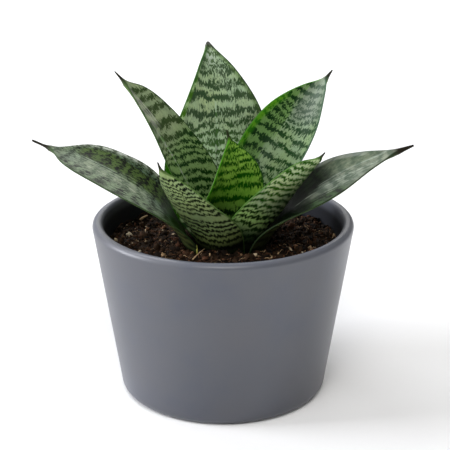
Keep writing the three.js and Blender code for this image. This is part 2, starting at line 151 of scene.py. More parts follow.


# Painted shade at the foot of the front leaves, where the other leaves and the soil shade them.
FRONT_FOOT_PAINTED_SHADE = zone((-5, 20), 5, "#1a2012", "#090c07")
# Lower skins: the zone at their foot is painted shade, dark near the soil.
UNDER = dict(
    UPPER, pale="#7c8f62", pale_warm="#879a61", dark="#17260f", dark_green="#1c2d12",
    dark_share=0.4, softness=0.24, waver=1.6, teeth=1.5, wave_size=(5, 12), arch=-4.0, blotch=0.6,
    fleck=0.65, margins=("#4c6a30", "#4c6a30"), zones=(zone((-5, 22), 14, "#333c20", "#12180c"),),
)
OUTER_UNDER = dict(
    UNDER, pale="#566236", pale_warm="#656c38", dark="#1a2411", dark_green="#1d2912",
    bands=even_bands(115, 6.5), specular=0.1, margins=("#34452a", "#34452a"),
)
SKINS = {
    ("leaf_back", "upper"): dict(
        UPPER, pale="#98b18e", pale_warm="#a3b886", dark="#374e2e", dark_green="#2e482b",
        bands=(
            9, 17, 24.9, 32.2, 38.8, 44.5, 48.5, 52.5, 56.5, 61.9, 66.5, 71.5, 77.6, 86.4, 93.6,
            99.5, 102.9, 106.2, 110.9, 114.8,
        ),
        dark_share=0.55, softness=0.24, blotch=0.9, specular=0.2, margins=("#26421f", "#2c5a18"),
        zones=(
            zone((31, 67), 8, "#c7e6b8", "#4a6f39"),
            # Painted silvery sheen near the tip, where the wax mirrors the light.
            zone((105, 113), 3, "#c3d2c1", "#597647", across=(-2, 5), strength=0.8),
            zone((41, 113), 2, "#5d7b3e", "#3a5021", low=2.5, strength=0.7),
            # The next two zones are painted light: bright green where light shines through the thin
            # high margin.
            zone((21, 97), 1.6, "#b1d391", "#427302", high=3.8, strength=0.95),
            zone((36, 60), 2, "#4f9a1c", "#37800f", high=7),
            zone((91, 113), 2, "#4e7f3a", "#31602a", high=2.0, strength=0.8),
            zone((42, 84), 0.7, "#a9c0a1", "#456c34", across=(0.2, 1.3), ragged=0.6, strength=0.85),
        ),
    ),
    ("leaf_right_upper", "upper"): dict(
        UPPER, pale="#819977", pale_warm="#839d6b", dark="#093705", dark_green="#093704",
        bands=(
            8.8, 17.1, 25.8, 32.9, 38.9, 44.8, 50.6, 55.1, 61, 68.1, 75.1, 81.2, 85.9, 90.5, 95.2,
            100.1, 106.3, 113.2,
        ),
        softness=0.24, blotch=0.95, specular=0.16, margins=("#3a5c44", "#4f8f28"),
        zones=(
            zone((87, 132), 6, "#768272", "#445745", across=(-30, 5), strength=0.85),
            zone((21, 118), 3, "#5d8241", "#012800", across=(5.5, 30), ragged=3, strength=0.9),
            # Painted light: bright green where light shines through the thin high margin.
            zone((56, 99), 3, "#4f8c01", "#2a6d00", high=3.2, strength=0.9),
        ),
    ),
    ("leaf_left_upper", "upper"): dict(
        UPPER, pale="#839670", pale_warm="#94a479", dark="#374725", dark_green="#30461c",
        bands=(
            6.6, 12.8, 18.9, 25, 31.7, 37.2, 42.1, 47.1, 52.1, 58.6, 63.6, 67.9, 71.4, 76, 87.3,
            97.9, 106, 113,
        ),
        softness=0.26, teeth=2.0, lean=0.7, blotch=1.05, fleck=1.25, specular=0.14,
        margins=("#2a4420", "#30501f"),
        zones=(
            zone((21, 73), 7, "#7d9d5f", "#073101"),
            # The next two zones are a painted silvery highlight along the midrib, where the wax
            # mirrors the light.
            zone((50, 94), 0.9, "#a7a9a1", "#87b16c", across=(6.9, 8.4), ragged=1, strength=0.8),
            zone((90, 120), 3, "#b4bba3", "#9da194", across=(2, 7), ragged=4, strength=0.75),
            zone((86, 118), 3, "#8d9a7c", "#5c6a56", across=(8.5, 30), strength=0.6),
        ),
    ),
    ("leaf_young", "upper"): dict(
        UPPER, pale="#62932d", pale_warm="#80a941", dark="#114d00", dark_green="#0a3900",
        bands=(5, 10, 15, 20.5, 29, 37.5, 44.5, 49.5, 53.5, 58, 61.5, 65, 68, 70.5),
        dark_share=0.47, softness=0.28, waver=1.8, teeth=2.4, arch=4, blotch=0.95, specular=0.05,
        margins=("#234f14", "#57a324"),
        zones=(
            # Painted shade, darker towards the foot.
            zone((-5, 35), 8, "#4c6f2e", "#011701"),
            # Painted light: bright green where light shines through the thin high margin.
            zone((31, 64), 3, "#4f8f16", "#35800f", high=3, strength=0.8),
        ),
    ),
    ("leaf_front_left", "under"): dict(
        UNDER, pale="#859a6a", pale_warm="#90a36a", dark="#010a00", dark_green="#010c00",
        bands=(5, 10.5, 17, 22.5, 27, 31.5, 35.5, 39.5, 47, 51.3, 55.3, 59, 62, 65, 68.2, 71.5, 75),
        dark_share=0.5, softness=0.4, teeth=1.9, wave_size=(6, 40), teeth_size=(1.1, 6), arch=0.0,
        lean=-0.3, blotch=0.35, fleck=0.75, specular=0.08, margins=("#26351a", "#4c6a30"),
        zones=(
            zone((25, 37), 5, "#afca85", "#021100"),
            zone((12, 25), 5, "#a7bd70", "#162806"),
            FRONT_FOOT_PAINTED_SHADE,
        ),
    ),
    ("leaf_front_right", "under"): dict(
        UNDER, pale="#a7bc90", pale_warm="#b6c790", dark="#1a4803", dark_green="#255303",
        bands=(5, 10, 15, 20, 25, 29.5, 34, 38, 42, 46.5, 51, 55, 58.5, 62, 66, 70, 74, 78),
        dark_share=0.49, softness=0.34, waver=1.7, teeth=1.8, wave_size=(5, 16),
        teeth_size=(1.0, 5), lean=0.25, blotch=0.55, fleck=0.85, specular=0.1,
        margins=("#4f7c30", "#3c5a28"),
        zones=(
            zone((25, 36), 5, "#b4dd82", "#0c2705"),
            # Painted shade near the soil.
            zone((12, 25), 5, "#3b572f", "#0a2601"),
            FRONT_FOOT_PAINTED_SHADE,
        ),
    ),
    ("leaf_left_outer", "upper"): dict(
        UPPER, pale="#647b6c", pale_warm="#6f866c", dark="#010b01", dark_green="#010801",
        bands=even_bands(115, 8.5), clear=0.5, softness=0.34, waver=3, blotch=0.8, fleck=1.4,
        blotch_size=(2.6, 3.4), fleck_size=(0.8, 2.4), streaks=0.2, specular=0.07,
        margins=("#4d5a4c", "#2c4420"),
        zones=(
            zone((93, 121), 6, "#7b8b6f", "#163210"),
            zone((11, 95), 4, "#86997b", "#000100", across=(8, 40), ragged=3),
            zone((6, 93), 3, "#4b6324", "#000100", across=(-22.5, -6), ragged=3, strength=0.9),
            # The next two zones are a painted silvery sheen along the middle and the low margin,
            # where the wax mirrors the light.
            zone((45, 89), 4, "#949f85", "#60725a", across=(-5, 8), ragged=6, strength=0.8),
            zone((37, 93), 2, "#73826c", "#2b3621", low=4.5, strength=0.8),
            # Painted shade at the foot.
            zone((-5, 35), 9, "#163901", "#162803"),
            # Painted silvery highlights: streaks along the middle and the low margin.
            zone((30, 84), 0.8, "#b9bdad", "#123b01", across=(3.0, 4.0), ragged=0.8, strength=0.7),
            zone(
                (36, 78), 0.7, "#a8ada8", "#6a736a", across=(-1.0, -0.2), ragged=0.8, strength=0.6
            ),
            zone((30, 96), 1.2, "#daded5", "#616d58", low=2.6, strength=0.6),
        ),
    ),
    ("leaf_left_outer", "under"): OUTER_UNDER,
    ("leaf_right_outer", "upper"): dict(
        UPPER, pale="#788173", pale_warm="#848b78", dark="#5c6857", dark_green="#535f51",
        bands=even_bands(110, 9), clear=0.5, softness=0.32, waver=3, blotch=0.9,
        blotch_size=(3.5, 3.8), fleck_size=(0.7, 3.5), streaks=0.24, specular=0.03,
        margins=("#26331f", "#6c7a6c"),
        zones=(
            zone((60, 94), 6, "#6e7963", "#505f4d", across=(3, 40), ragged=4, strength=0.85),
            zone((37, 68), 5, "#34502a", "#000100", across=(-40, -11), ragged=4, strength=0.9),
            # Painted shadow cast by the front right leaf.
            zone((31, 64), 5, "#162510", "#050b04", across=(-3, 40), ragged=5),
            # Painted shade at the foot.
            zone((-10, 47), 5, "#0b1607", "#040b05"),
            # The zones below are a painted silvery sheen and painted highlight streaks, where the
            # wax mirrors the light.
            zone((52, 76), 4, "#828e7f", "#4f5f4f", across=(-11, 0), ragged=6, strength=0.8),
            zone((60, 86), 2, "#90968a", "#848d84", high=3, strength=0.75),
            zone(
                (40, 92), 0.7, "#b1bcaa", "#636d66", across=(-3.5, -2.7), ragged=0.8, strength=0.6
            ),
            zone((56, 98), 0.7, "#a3ada2", "#838f84", across=(2.0, 2.8), ragged=0.8, strength=0.5),
        ),
    ),
    ("leaf_right_outer", "under"): OUTER_UNDER,
}

# Grain of the waxy skin in mm, across and along: patches of its two shades, pale and dark streaks,
# and ribs. The margin's line is whole below the second number and gone above the first, and the
# dark tip fades in over TIP_FADE of the length on each side of the spine's foot.
PATCH_SIZE = (14, 16)
STREAK_SIZE = (1.3, 24)
RIB_SIZE = (0.7, 20)
MARGIN_LINE = (0.9, 0.4)
TIP_FADE = 0.02
TIP_COLOUR = "#201b15"

# Pot and soil, as the part's source gives them, in mm.
POT_HEIGHT = 98
POT_RIM_RADIUS = 71.5
POT_FOOT_RADIUS = 56
POT_WALL = 6
POT_FLOOR = 7
LIP_RADIUS = 3
FOOT_EDGE_RADIUS = 6.5
INSIDE_CORNER_RADIUS = 6
FOOT_RECESS_RADIUS = 45
FOOT_RECESS_DEPTH = 1.5
SOIL_AT_WALL = 84
SOIL_MOUND = 2
GAP = 0.3

# How far below the rim the glaze's colour starts to change, and has changed, in mm: paler over the
# top of the lip, by the last factor below, as painted light from above, and darker inside the pot
# as painted shade.
LIP_BELOW_RIM = (1.6, 0.3)
PAINTED_SHADE_BELOW_RIM = (2.5, 7)
LIP_PAINTED_LIGHT = 1.3

# Lumps of the soil's surface, as clods, crumbs and grit: how high and how wide they are in mm, and
# the layer of noise that each is read from.
SOIL_LUMPS = ((2.2, 9, 3.1), (1.6, 3.6, 7.7), (0.8, 1.5, 1.9))

# Smallest and largest of the loose crumbs, grains and fibres, in mm, and how far they lie from the
# plant and from the pot's wall. A fibre has FIBRE_STEPS short steps.
CRUMB_WIDTH = (0.7, 4.2)
GRAIN_WIDTH = (0.7, 1.7)
FIBRE_LENGTH = (2, 9)
FIBRE_RADIUS = (0.07, 0.2)
FIBRE_STEPS = 6
CLEAR_OF_PLANT = 0.4
CLEAR_OF_WALL = 0.8

# Pale grains that lie on the soil in plain view: x, y and diameter in mm.
LARGE_GRAINS = (
    (-54.3, 26.1, 2.0), (-51.1, 6.7, 3.4), (-58.9, 2.0, 2.6), (-53.7, -2.7, 2.2),
    (-49.4, -8.9, 2.0), (-44.6, -16.4, 2.2), (45.3, 22.3, 1.8), (47.1, -7.3, 1.8),
    (30.5, -7.3, 1.7), (16.9, -24.9, 2.4), (25.9, -26.1, 1.7), (-7.0, -26.8, 1.8),
    (1.0, -28.3, 1.6),
)

# Two chips of bark and a straw, and the stub of a dry offset, that stand out of the soil: the
# points along each and its radius, in mm, and its tone.
STRAW_AND_BARK = (
    (((-46.6, 27.6, 86.8), (-45.1, 29.6, 87.6), (-43.0, 32.0, 87.8)), 0.95, 0.3),
    (((35.2, -15.4, 86.2), (35.9, -17.4, 86.7), (36.7, -19.6, 86.4)), 0.75, 0.5),
    (
        ((-16.0, -32.6, 86.3), (-14.2, -30.2, 87.4), (-12.3, -27.6, 88.4), (-9.9, -24.4, 89.2)),
        0.42, 0.3,
    ),
)
STUBS = ((((-13.7, -24.5, 85.6), (-13.8, -24.3, 88.0), (-14.0, -24.0, 91.2)), 0.55, 0.5),)

# Soft boxes: name, direction in degrees from the camera's side towards the right, height in
# degrees, share of the power, and tint. They stand LAMP_DISTANCE from a point LAMP_CENTRE above the
# floor and shine on one AIM_HEIGHT above it, and the floor reaches FLOOR_REACH each way, in metres.
# The camera's frame is SENSOR_WIDTH mm wide.
LAMPS = (
    ("window_light", 270, 22, 0.5, "#f7f9ff"),
    ("front_light", 0, 50, 0.185, "#fffdfa"),
    ("rear_left_light", 222, 50, 0.21, "#fbfcff"),
    ("rear_light", 180, 30, 0.11, "#fffefc"),
    ("low_front_light", 315, 26, 0.05, "#f6f9ff"),
)
LAMP_DISTANCE = 1.8
LAMP_CENTRE = 0.05
AIM_HEIGHT = 0.09
FLOOR_REACH = 6.0
SENSOR_WIDTH = 36


class PlantSettings(bpy.types.PropertyGroup):
    """Fineness of the leaves."""

    columns: bpy.props.IntProperty(
        name="Columns", description="Faces across one side of a leaf", default=40, min=12, max=80
    )
    steps: bpy.props.IntProperty(
        name="Steps", description="Faces along a leaf", default=150, min=40, max=300
    )
    roughness: bpy.props.FloatProperty(
        name="Roughness", description="Roughness of the waxy skin", default=0.42, min=0.05, max=1,
        subtype="FACTOR",
    )


class SoilSettings(bpy.types.PropertyGroup):
    """Amounts and colours of what the soil is made of."""

    seed: bpy.props.IntProperty(name="Seed", description="Seed of the scattered grains", default=5)
    crumbs: bpy.props.IntProperty(
        name="Crumbs", description="Number of loose crumbs of peat", default=2200, min=0, max=2400
    )
    grains: bpy.props.IntProperty(
        name="Grains", description="Number of small pale grains", default=60, min=0, max=200
    )
    fibres: bpy.props.IntProperty(
        name="Fibres", description="Number of loose fibres", default=1100, min=0, max=1500
    )
    darkest: bpy.props.FloatVectorProperty(
        name="Darkest peat", description="Colour of the damp peat", subtype="COLOR", size=4,
        min=0, max=1, default=linear("#180f07"),
    )
    reddest: bpy.props.FloatVectorProperty(
        name="Fibrous peat", description="Colour of the reddish fibres", subtype="COLOR", size=4,
        min=0, max=1, default=linear("#553626"),
    )


class PotSettings(bpy.types.PropertyGroup):
    """Fineness and glaze of the pot."""

    segments: bpy.props.IntProperty(
        name="Segments", description="Faces round the pot", default=256, min=32, max=512
    )
    glaze: bpy.props.FloatVectorProperty(
        name="Glaze", description="Colour of the glaze", subtype="COLOR", size=4, min=0, max=1,
        default=linear("#56585f"),
    )
    roughness: bpy.props.FloatProperty(
        name="Roughness", description="Roughness of the satin glaze", default=0.36, min=0.05,
        max=1, subtype="FACTOR",
    )


class StageSettings(bpy.types.PropertyGroup):
    """Camera, lights and floor."""

    camera_place: bpy.props.FloatVectorProperty(
        name="Camera", description="Where the camera stands", subtype="TRANSLATION", unit="LENGTH",
        size=3, default=(0.0010, -0.7517, 0.3671),
    )
    camera_pitch: bpy.props.FloatProperty(
        name="Downward tilt", description="How far the camera looks down", subtype="ANGLE",
        unit="ROTATION", default=math.radians(19.98),
    )
    lens: bpy.props.FloatProperty(
        name="Lens", description="Focal length of the camera in millimetres", default=117.38,
    )
    floor: bpy.props.FloatVectorProperty(
        name="Floor", description="Colour of the floor", subtype="COLOR", size=4, min=0, max=1,
        default=linear("#f6f6f6"),
    )
    power: bpy.props.FloatProperty(
        name="Power", description="Power of all the soft boxes together", default=72.0, min=0,
        subtype="POWER", unit="POWER",
    )
    box_size: bpy.props.FloatProperty(
        name="Soft box", description="Width of a soft box", default=0.9, min=0.1,
        subtype="DISTANCE", unit="LENGTH",
    )
    sky: bpy.props.FloatProperty(
        name="Room light", description="Brightness of the white room", default=0.3, min=0,
    )


def add_node(tree, kind, inputs=None, stops=(), **settings):
    """Adds a node, sets it and links it. An input is a value, a socket or a node's first output."""
    node = tree.nodes.new("ShaderNode" + kind)
    for name, value in settings.items():
        setattr(node, name, value)
    if stops:
        elements = node.color_ramp.elements
        elements[0].position, elements[0].color = stops[0]
        elements[1].position, elements[1].color = stops[-1]
        for place, colour in stops[1:-1]:
            elements.new(place).color = colour
    for key, value in (inputs or {}).items():
        if isinstance(value, bpy.types.Node):
            value = value.outputs[0]
        if isinstance(value, bpy.types.NodeSocket):
            tree.links.new(value, node.inputs[key])
        else:
            node.inputs[key].default_value = value
    return node


def new_material(name):
    """An empty material, and add_node for its tree."""
    material = bpy.data.materials.new(name)
    material.use_nodes = True
    material.node_tree.nodes.clear()
    return material, partial(add_node, material.node_tree)


def new_piece(name, points, faces, materials, node=None, tones=None):
    """A smooth-shaded mesh piece on the part's body, in place of a CAD node if one is given. points
    are in mm, and tones say how pale the material is at each."""
    mesh = bpy.data.meshes.new(name)
    mesh.from_pydata((np.asarray(points) * MM).tolist(), [], faces)
    mesh.polygons.foreach_set("use_smooth", [True] * len(mesh.polygons))
    for material in materials:
        mesh.materials.append(material)
    mesh.update()
    if tones is not None:
        mesh.attributes.new("tone", "FLOAT", "POINT").data.foreach_set("value", tones)
    piece = bpy.data.objects.new(name, mesh)
    bpy.context.scene.collection.objects.link(piece)
    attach(piece, "root")
    if node:
        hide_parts(node)
    return piece


def closed_skin(rings, around):
    """Faces of a closed form: rings of so many points, then the two points that close its ends."""
    faces = []
    for j in range(rings - 1):
        for i in range(around):
            a, b = j * around + i, j * around + (i + 1) % around
            faces.append((a, b, b + around, a + around))
    last, end = (rings - 1) * around, rings * around
    for i in range(around):
        n = (i + 1) % around
        faces.append((end, n, i))
        faces.append((end + 1, last + i, last + n))
    return faces


def ease(t):
    """A smooth step from 0 to 1."""
    return t * t * (3 - 2 * t)


def curve_through(xs, ys, x):
    """A smooth curve through the points (xs, ys), read at the places x."""
    xs, ys = np.asarray(xs, float), np.asarray(ys, float)
    width = np.diff(xs)
    chord = np.diff(ys) / width
    slope = np.concatenate([chord[:1], chord[1:], chord[-1:]])
    slope[1:-1] = (chord[1:] * width[:-1] + chord[:-1] * width[1:]) / (width[1:] + width[:-1])
    i = np.clip(np.searchsorted(xs, x, side="right") - 1, 0, len(xs) - 2)
    u = (x - xs[i]) / width[i]
    bend = u * (1 - u) * width[i] * ((1 - u) * slope[i] - u * slope[i + 1])
    return ys[i] + (ys[i + 1] - ys[i]) * ease(u) + bend


def half_width(leaf, t):
    """Half the leaf's width along it, in mm, measured over the cupped blade."""
    base = leaf["radius"] * math.radians(leaf["cup"][0]) / (leaf["width"] / 2)
    w = leaf["widest"]
    spine = leaf["spine"]
    rest = spine - w
    full = leaf["fullness"]
    # Shares of the greatest half width: at the base, at the widest place, at the foot of the spine
    # and at its point, with one or two more between each.
    share = curve_through(
        (0, w / 2, w, w + 0.45 * rest, w + 0.8 * rest, spine, 1),
        (base, base + 0.72 * (1 - base), 1, 0.8 + full / 2, 0.4 + full, 0.085, 0.02),
        t,
    )
    return share * leaf["width"] / 2


def leaf_path(leaf, steps):
    """Points along the leaf's middle, with the directions out of its upper side and across it."""
    t = np.linspace(0, 1, steps + 1)
    # The heading has turned before the tip, and the rise is a parabola through its three values.
    heading0, heading1 = leaf["heading"]
    h = np.radians(heading0 + (heading1 - heading0) * ease(np.minimum(1.4 * t, 1)))
    base_rise, mid_rise, tip_rise = leaf["rise"]
    rise = base_rise * 2 * (t - 0.5) * (t - 1) + mid_rise * 4 * t * (1 - t)
    e = np.radians(rise + tip_rise * 2 * t * (t - 0.5))
    base_roll = heading0 - leaf["azimuth"]
    roll = np.radians(base_roll + (leaf["roll"] - base_roll) * ease(t))[:, None]
    along = np.stack([np.cos(e) * np.cos(h), np.cos(e) * np.sin(h), np.sin(e)], 1)
    up = np.stack([-np.sin(e) * np.cos(h), -np.sin(e) * np.sin(h), np.cos(e)], 1)
    side = np.cross(up, along)
    out = up * np.cos(roll) + side * np.sin(roll)
    across = side * np.cos(roll) - up * np.sin(roll)
    azimuth = math.radians(leaf["azimuth"])
    points = np.empty((steps + 1, 3))
    points[0] = leaf["radius"] * math.cos(azimuth), leaf["radius"] * math.sin(azimuth), LEAF_BASE
    points[1:] = points[0] + np.cumsum((along[1:] + along[:-1]) / 2, 0) * leaf["length"] / steps
    return t, points, out, across


def leaf_columns(w, edge, columns):
    """Places across the blade from -1 to 1, closer together in its round edges."""
    rim = min(edge / w, 1.0)
    quarter = np.sin(np.linspace(0, math.pi / 2, 5))[1:]
    inner = np.linspace(-1, 1, columns - 7) * (1 - rim)
    return np.concatenate([-(1 - rim + rim * quarter[::-1]), inner, 1 - rim + rim * quarter])


def leaf_rings(name, settings):
    """The leaf's cross-sections: upper points, lower points, and where each lies on the leaf."""
    leaf = LEAVES[name]
    t, middle, out, across = leaf_path(leaf, settings.steps)
    cup0, cup1, cup2 = leaf["cup"]
    cups = (cup0, 0.75 * cup0 + 0.25 * cup1, cup1, cup2, cup2)
    phi = np.radians(curve_through((0, 0.18, 0.5, 0.9, 1), cups, t))
    width = half_width(leaf, t)
    upper, lower, places = [], [], []
    for i, place in enumerate(t):
        # The blade thins towards its margins, has round edges and ends in the round spine.
        thickness = LEAF_THICKNESS[0] + (LEAF_THICKNESS[1] - LEAF_THICKNESS[0]) * place
        u = leaf_columns(width[i], LEAF_EDGE / 2, settings.columns)
        half = np.maximum(thickness * (1 - 0.6 * u * u), LEAF_EDGE) / 2
        rim = min(LEAF_EDGE / 2 / width[i], 1.0)
        half *= np.sqrt(np.clip(1 - (np.maximum(np.abs(u) - (1 - rim), 0) / rim) ** 2, 0, 1))
        half *= min(1.0, width[i] / TIP_TAPER)
        awl = min(0.85 * width[i], AWL_THICKEST / 2) * np.sqrt(1 - u * u)
        into_awl = (place - leaf["spine"] + SPINE_BLEND) / SPINE_BLEND
        into_awl = ease(min(max(into_awl, 0.0), 1.0))
        half += (np.maximum(half, awl) - half) * into_awl
        a = (u * phi[i])[:, None]
        bend = width[i] / phi[i]
        centre = middle[i] + across[i] * bend * np.sin(a) + out[i] * bend * (1 - np.cos(a))
        normal = out[i] * np.cos(a) - across[i] * np.sin(a)
        upper.append(centre + normal * half[:, None])
        lower.append(centre - normal * half[:, None])
        along = np.full_like(u, place * leaf["length"])
        places.append(np.stack([u * width[i], along, (1 - abs(u)) * width[i]], 1))
    upper[0][:, 2] = LEAF_BASE
    lower[0][:, 2] = LEAF_BASE
    return np.array(upper), np.array(lower), np.array(places)


def spots(node, place, width, length, seed, detail=2.0, roughness=0.5):
    """Noise over the leaf, from 0 to 1, whose spots are so many mm wide and long."""
    scaled = {0: place, 1: (1 / width, 1 / length, 0.0), 2: (0.0, 0.0, seed)}
    scaled = node("VectorMath", scaled, operation="MULTIPLY_ADD")
    spotted = {"Vector": scaled, "Scale": 1.0, "Detail": detail, "Roughness": roughness}
    return node("TexNoise", spotted)


def spread(node, value, low, high, half=0.2, clamp=True):
    """Noise whose middle, half on each side of 0.5, is spread from low to high."""
    return node(
        "MapRange",
        {
            "Value": value, "From Min": 0.5 - half, "From Max": 0.5 + half, "To Min": low,
            "To Max": high,
        },
        clamp=clamp,
    )


def wander(node, value, reach):
    """Noise about 0, from -reach to reach for nearly all of it."""
    return spread(node, value, -reach, reach, 0.25, False)


def between(node, value, low, high, soft):
    """1 between two places, and 0 beyond them, with soft sides."""
    sides = [
        node(
            "MapRange", {"Value": value, "From Min": place - fade, "From Max": place + fade},
            interpolation_type="SMOOTHSTEP",
        )
        for place, fade in ((low, soft / 2), (high, -soft / 2))
    ]
    return node("Math", dict(enumerate(sides)), operation="MULTIPLY")


def band_ramp(node, value, bands):
    """1 in the middle of each band and 0 halfway between two."""
    stops = [(max(1.5 * bands[0] - 0.5 * bands[1], 0), (0, 0, 0, 1))]
    for i, band in enumerate(bands):
        after = bands[i + 1] if i + 1 < len(bands) else 2 * band - bands[i - 1]
        stops.append((band, (1, 1, 1, 1)))
        stops.append((min((band + after) / 2, 1), (0, 0, 0, 1)))
    ramp = node("ValToRGB", {0: value}, stops=stops)
    ramp.color_ramp.interpolation = "EASE"
    return ramp


def leaf_skin(name, leaf, look, settings, seed):
    """Living leaf skin, grown with a wax coat: satin, with pale and dark cross bands whose edges
    are frayed into lengthwise teeth, faint lengthwise ribs, a thin margin line and a dark tip."""
    material, node = new_material(name)
    place = node("Attribute", attribute_name="leaf_place").outputs["Vector"]
    across, along, inside = node("SeparateXYZ", {0: place}).outputs

    # Wandering of the bands, and the lengthwise teeth of their edges.
    waver = wander(node, spots(node, place, *look["wave_size"], seed), look["waver"])
    teeth = spots(node, place, *look["teeth_size"], seed + 31, detail=3.0, roughness=0.65)
    teeth = wander(node, teeth, look["teeth"])
    squared = node("Math", {0: across, 1: across}, operation="MULTIPLY")
    bow = -look["arch"] / (leaf["width"] / 2) ** 2
    shift = node("Math", {0: squared, 1: bow, 2: along}, operation="MULTIPLY_ADD")
    shift = node("Math", {0: across, 1: -look["lean"], 2: shift}, operation="MULTIPLY_ADD")
    for change, step in ((waver, "ADD"), (teeth, "ADD"), (leaf["length"], "DIVIDE")):
        shift = node("Math", {0: shift, 1: change}, operation=step)

    # The bands themselves, from the middles of the dark ones. A ramp holds 32 stops, so the lower
    # half of the leaf and the upper half have one each.
    bands = [band / leaf["length"] for band in look["bands"]]
    half = len(bands) // 2
    ramps = [band_ramp(node, shift, part) for part in (bands[:half], bands[half:])]
    ramp = node("Math", dict(enumerate(ramps)), operation="MAXIMUM")

    # Blotches a few mm wide and flecks less than 1 mm wide break the bands up.
    blotch = wander(node, spots(node, place, *look["blotch_size"], seed + 7), look["blotch"] / 2)
    fine = spots(node, place, *look["fleck_size"], seed + 57, detail=3.0, roughness=0.65)
    fleck = wander(node, fine, look["fleck"] / 2)
    clear = look["clear"]
    darkness = node("Math", {0: ramp, 1: clear, 2: 0.5 - clear / 2}, operation="MULTIPLY_ADD")
    for spot in (blotch, fleck):
        darkness = node("Math", {0: darkness, 1: spot}, operation="ADD")
    edge, softness = 1 - look["dark_share"], look["softness"]
    mask = node(
        "MapRange",
        {"Value": darkness, "From Min": edge - softness, "From Max": edge + softness},
        interpolation_type="SMOOTHSTEP",
    )

    # Colours: two shades each of pale and of dark, in patches, and those of the zones, which hold
    # painted shade and painted light as well as markings.
    patch = spots(node, place, *PATCH_SIZE, seed + 83, detail=3.0, roughness=0.6)
    patch = spread(node, patch, 0, 1, 0.15)
    colours = {}
    for shade, other in (("pale", "pale_warm"), ("dark", "dark_green")):
        shades = {0: patch, 6: linear(look[shade]), 7: linear(look[other])}
        colours[shade] = node("Mix", shades, data_type="RGBA").outputs[2]
    streak = spots(node, place, *STREAK_SIZE, seed + 11, detail=2.0, roughness=0.6)
    ragged = wander(node, streak, 1.0)
    on_high = node("Math", {0: across, 1: 0.0}, operation="GREATER_THAN")
    on_low = node("Math", {0: across, 1: 0.0}, operation="LESS_THAN")
    for area in look["zones"]:
        soft = area["soft"]
        share = between(node, along, *area["along"], 3 + 2 * soft)
        limits = []
        if "across" in area:
            side = node("Math", {0: ragged, 1: area["ragged"], 2: across}, operation="MULTIPLY_ADD")
            limits.append(between(node, side, *area["across"], soft))
        for margin, beyond in (("low", on_high), ("high", on_low)):
            if margin in area:
                away = node("Math", {0: beyond, 1: 100.0, 2: inside}, operation="MULTIPLY_ADD")
                limits.append(between(node, away, -10, area[margin], soft))
        for limit in (*limits, area["strength"]):
            share = node("Math", {0: share, 1: limit}, operation="MULTIPLY")
        for shade, colour in colours.items():
            mixed = {0: share, 6: colour, 7: linear(area[shade])}
            colours[shade] = node("Mix", mixed, data_type="RGBA").outputs[2]
    mixed = {0: mask, 6: colours["pale"], 7: colours["dark"]}
    colour = node("Mix", mixed, data_type="RGBA").outputs[2]
    streaks = look["streaks"]
    for pattern, low, high in ((fine, 0.82, 1.14), (streak, 1 - streaks, 1 + streaks)):
        shade = spread(node, pattern, low, high)
        colour = node("VectorMath", {0: colour, "Scale": shade}, operation="SCALE")

    # Margins and tip.
    fade, whole = MARGIN_LINE
    line = node("MapRange", {"Value": inside, "From Min": fade, "From Max": whole, "To Max": 0.85})
    low, high = look["margins"]
    rim = node("Mix", {0: on_high, 6: linear(low), 7: linear(high)}, data_type="RGBA").outputs[2]
    colour = node("Mix", {0: line, 6: colour, 7: rim}, data_type="RGBA").outputs[2]
    start, end = leaf["spine"] - TIP_FADE, leaf["spine"] + TIP_FADE
    tip = node(
        "MapRange",
        {
            "Value": along, "From Min": leaf["length"] * start, "From Max": leaf["length"] * end,
            "To Max": 0.95,
        },
    )
    tipped = {0: tip, 6: colour, 7: linear(TIP_COLOUR)}
    colour = node("Mix", tipped, data_type="RGBA").outputs[2]

    # Lengthwise ribs, too low to see one by one.
    ribs = spots(node, place, *RIB_SIZE, seed + 19, detail=3.0, roughness=0.55)
    bump = node("Bump", {"Height": ribs, "Strength": 0.35, "Distance": 0.0003})
    rough = spread(node, ribs, settings.roughness - 0.07, settings.roughness + 0.07)
    wax = {"Base Color": colour, "Roughness": rough, "IOR": 1.45, "Normal": bump}
    shader = node("BsdfPrincipled", {**wax, "Specular IOR Level": look["specular"]})
    node("OutputMaterial", {"Surface": shader})
    return material


def make_leaf(name, number, settings):
    """One leaf with round edges, and its upper and lower skins."""
    leaf = LEAVES[name]
    upper, lower, places = leaf_rings(name, settings)
    rings, across = upper.shape[:2]
    around = 2 * across - 2
    skin = np.concatenate([upper, lower[:, -2:0:-1]], 1)
    lies = np.concatenate([places, places[:, -2:0:-1]], 1)
    points = np.concatenate([skin.reshape(-1, 3), [skin[0].mean(0), skin[-1].mean(0)]])
    ends = [[0.0, 0.0, 1.0], [0.0, leaf["length"], 1.0]]
    lies = np.concatenate([lies.reshape(-1, 3), ends])
    faces, sides = [], []
    # The rings run the other way round than closed_skin's, and each face also has its side.
    for i in range(rings - 1):
        for k in range(around):
            a, b = i * around + k, i * around + (k + 1) % around
            faces.append((a, a + around, b + around, b))
            sides.append(0 if k < across - 1 else 1)
    last = (rings - 1) * around
    for k in range(around):
        n = (k + 1) % around
        faces.append((k, n, rings * around))
        faces.append((last + n, last + k, rings * around + 1))
        sides += [1, 1]
    upper_look = SKINS.get((name, "upper")) or dict(UPPER, bands=even_bands(leaf["length"], 8))
    under_look = SKINS.get((name, "under")) or dict(UNDER, bands=even_bands(leaf["length"], 5))
    materials = [
        leaf_skin(f"{name} waxy upper skin", leaf, upper_look, settings, 10 * number),
        leaf_skin(f"{name} waxy lower skin", leaf, under_look, settings, 10 * number + 5),
    ]
    piece = new_piece(name.replace("leaf_", "blade_"), points, faces, materials, name)
    piece.data.polygons.foreach_set("material_index", sides)
    lies_at = piece.data.attributes.new("leaf_place", "FLOAT_VECTOR", "POINT")
    lies_at.data.foreach_set("vector", lies.ravel())


